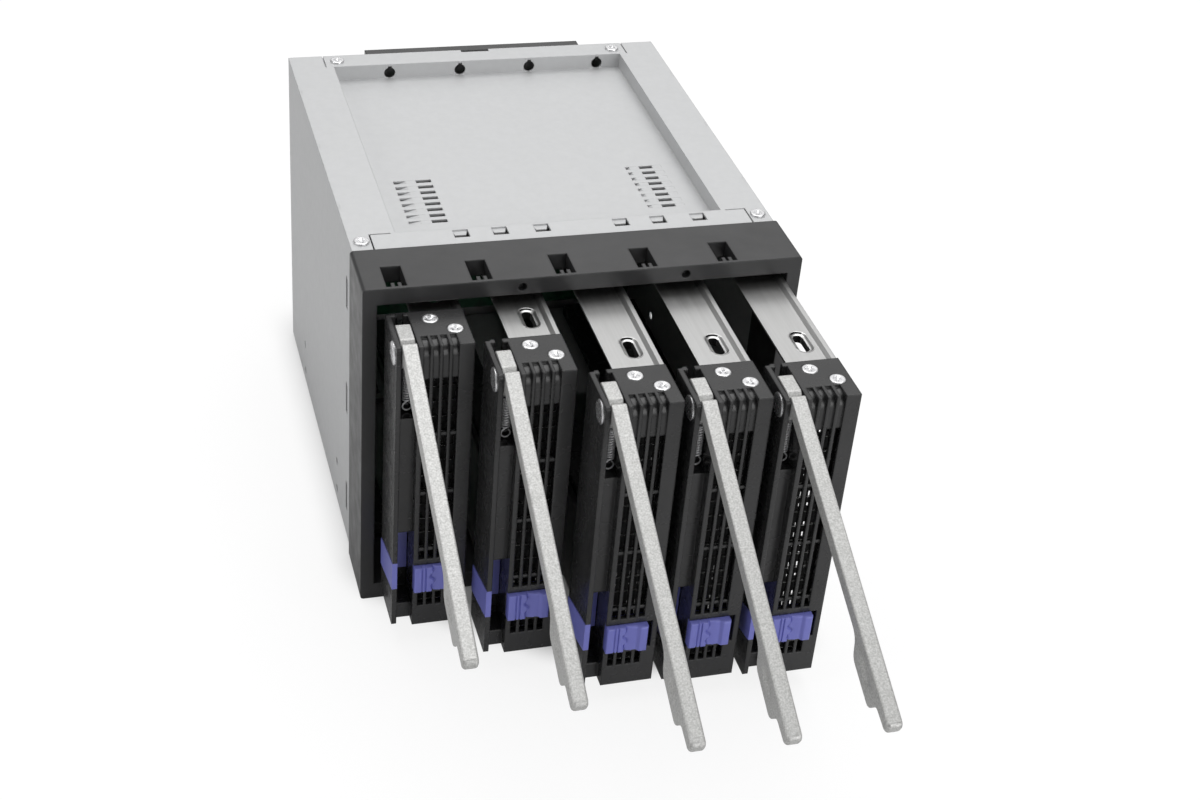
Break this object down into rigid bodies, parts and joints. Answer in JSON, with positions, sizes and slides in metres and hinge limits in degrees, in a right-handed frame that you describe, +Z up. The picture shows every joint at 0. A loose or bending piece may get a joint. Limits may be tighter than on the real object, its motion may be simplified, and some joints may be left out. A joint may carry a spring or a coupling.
{
  "type": "hot swap drive cage",
  "caption": "Steel drive cage with a black bezel and side by side pull-out trays, each with a perforated front, metal rails, a swinging lever and a sliding latch.",
  "frame": {"origin": "in the bezel's front plane, at mid width, level with the bezel's bottom edge", "axes": "+X right seen from the front, +Y to the rear, +Z up"},
  "size_m": [0.148, 0.3695, 0.127],
  "materials": {
    "bezel_plastic": "satin moulded",
    "black_plastic": "fine grain moulded",
    "blue_plastic": "satin moulded",
    "white_plastic": "satin moulded",
    "board_green": "solder mask",
    "zinc_steel": "zinc coated, matt",
    "bright_steel": "nickel plated",
    "rail_aluminium": "brushed",
    "lever_aluminium": "bead blasted"
  },
  "bodies": {
    "cage": {"bezel_frame": "bezel_plastic", "left_side_panel": "zinc_steel", "right_side_panel": "zinc_steel", "top_panel": "zinc_steel", "bottom_panel": "zinc_steel", "rear_panel": "zinc_steel", "upper_guides": "black_plastic", "lower_guides": "black_plastic", "backplane_board": "board_green", "board_standoffs": "bright_steel", "drive_sockets": "black_plastic", "data_ports": "black_plastic", "power_ports": "white_plastic", "fan_bracket": "black_plastic", "fan_frame": "black_plastic", "cage_screws": "bright_steel"},
    "rotor": {"fan_rotor": "black_plastic"},
    "tray_1": {"tray_1_front": "black_plastic", "tray_1_carrier": "rail_aluminium", "tray_1_pin": "bright_steel", "tray_1_spring": "bright_steel", "tray_1_latch_guide": "blue_plastic", "tray_1_screws": "bright_steel"},
    "lever_1": {"tray_1_lever": "lever_aluminium"},
    "latch_1": {"tray_1_latch": "blue_plastic"},
    "tray_2": {"tray_2_front": "black_plastic", "tray_2_carrier": "rail_aluminium", "tray_2_pin": "bright_steel", "tray_2_spring": "bright_steel", "tray_2_latch_guide": "blue_plastic", "tray_2_screws": "bright_steel"},
    "lever_2": {"tray_2_lever": "lever_aluminium"},
    "latch_2": {"tray_2_latch": "blue_plastic"},
    "tray_3": {"tray_3_front": "black_plastic", "tray_3_carrier": "rail_aluminium", "tray_3_pin": "bright_steel", "tray_3_spring": "bright_steel", "tray_3_latch_guide": "blue_plastic", "tray_3_screws": "bright_steel"},
    "lever_3": {"tray_3_lever": "lever_aluminium"},
    "latch_3": {"tray_3_latch": "blue_plastic"},
    "tray_4": {"tray_4_front": "black_plastic", "tray_4_carrier": "rail_aluminium", "tray_4_pin": "bright_steel", "tray_4_spring": "bright_steel", "tray_4_latch_guide": "blue_plastic", "tray_4_screws": "bright_steel"},
    "lever_4": {"tray_4_lever": "lever_aluminium"},
    "latch_4": {"tray_4_latch": "blue_plastic"},
    "tray_5": {"tray_5_front": "black_plastic", "tray_5_carrier": "rail_aluminium", "tray_5_pin": "bright_steel", "tray_5_spring": "bright_steel", "tray_5_latch_guide": "blue_plastic", "tray_5_screws": "bright_steel"},
    "lever_5": {"tray_5_lever": "lever_aluminium"},
    "latch_5": {"tray_5_latch": "blue_plastic"}
  },
  "joints": [
    {"name": "tray_1_slide", "type": "slide", "parent": "cage", "child": "tray_1", "axis": [0, -1, 0], "range_m": [-0.0245, 0.1405]},
    {"name": "lever_1_hinge", "type": "hinge", "parent": "tray_1", "child": "lever_1", "pos_m": [-0.0634, -0.019, 0.1155], "axis": [1, 0, 0], "range_deg": [0, 65.4], "stiffness_Nm_per_rad": 0.02, "springref_deg": -34.38, "deforming": ["tray_1_spring"]},
    {"name": "latch_1_slide", "type": "slide", "parent": "tray_1", "child": "latch_1", "axis": [1, 0, 0], "range_m": [0, 0.0018], "stiffness_N_per_m": 250, "springref_m": -0.001},
    {"name": "tray_2_slide", "type": "slide", "parent": "cage", "child": "tray_2", "axis": [0, -1, 0], "range_m": [-0.0439, 0.1211]},
    {"name": "lever_2_hinge", "type": "hinge", "parent": "tray_2", "child": "lever_2", "pos_m": [-0.0357, -0.0384, 0.1155], "axis": [1, 0, 0], "range_deg": [0, 62.6], "stiffness_Nm_per_rad": 0.02, "springref_deg": -34.38, "deforming": ["tray_2_spring"]},
    {"name": "latch_2_slide", "type": "slide", "parent": "tray_2", "child": "latch_2", "axis": [1, 0, 0], "range_m": [0, 0.0018], "stiffness_N_per_m": 250, "springref_m": -0.001},
    {"name": "tray_3_slide", "type": "slide", "parent": "cage", "child": "tray_3", "axis": [0, -1, 0], "range_m": [-0.0656, 0.0994]},
    {"name": "lever_3_hinge", "type": "hinge", "parent": "tray_3", "child": "lever_3", "pos_m": [-0.008, -0.0601, 0.1155], "axis": [1, 0, 0], "range_deg": [0, 62.6], "stiffness_Nm_per_rad": 0.02, "springref_deg": -34.38, "deforming": ["tray_3_spring"]},
    {"name": "latch_3_slide", "type": "slide", "parent": "tray_3", "child": "latch_3", "axis": [1, 0, 0], "range_m": [0, 0.0018], "stiffness_N_per_m": 250, "springref_m": -0.001},
    {"name": "tray_4_slide", "type": "slide", "parent": "cage", "child": "tray_4", "axis": [0, -1, 0], "range_m": [-0.068, 0.097]},
    {"name": "lever_4_hinge", "type": "hinge", "parent": "tray_4", "child": "lever_4", "pos_m": [0.0197, -0.0625, 0.1155], "axis": [1, 0, 0], "range_deg": [0, 62.2], "stiffness_Nm_per_rad": 0.02, "springref_deg": -34.38, "deforming": ["tray_4_spring"]},
    {"name": "latch_4_slide", "type": "slide", "parent": "tray_4", "child": "latch_4", "axis": [1, 0, 0], "range_m": [0, 0.0018], "stiffness_N_per_m": 250, "springref_m": -0.001},
    {"name": "tray_5_slide", "type": "slide", "parent": "cage", "child": "tray_5", "axis": [0, -1, 0], "range_m": [-0.0708, 0.0942]},
    {"name": "lever_5_hinge", "type": "hinge", "parent": "tray_5", "child": "lever_5", "pos_m": [0.0474, -0.0653, 0.1155], "axis": [1, 0, 0], "range_deg": [0, 64.6], "stiffness_Nm_per_rad": 0.02, "springref_deg": -34.38, "deforming": ["tray_5_spring"]},
    {"name": "latch_5_slide", "type": "slide", "parent": "tray_5", "child": "latch_5", "axis": [1, 0, 0], "range_m": [0, 0.0018], "stiffness_N_per_m": 250, "springref_m": -0.001},
    {"name": "fan_spin", "type": "hinge", "parent": "cage", "child": "rotor", "pos_m": [0, 0.19, 0.068], "axis": [0, 1, 0], "continuous": true}
  ]
}
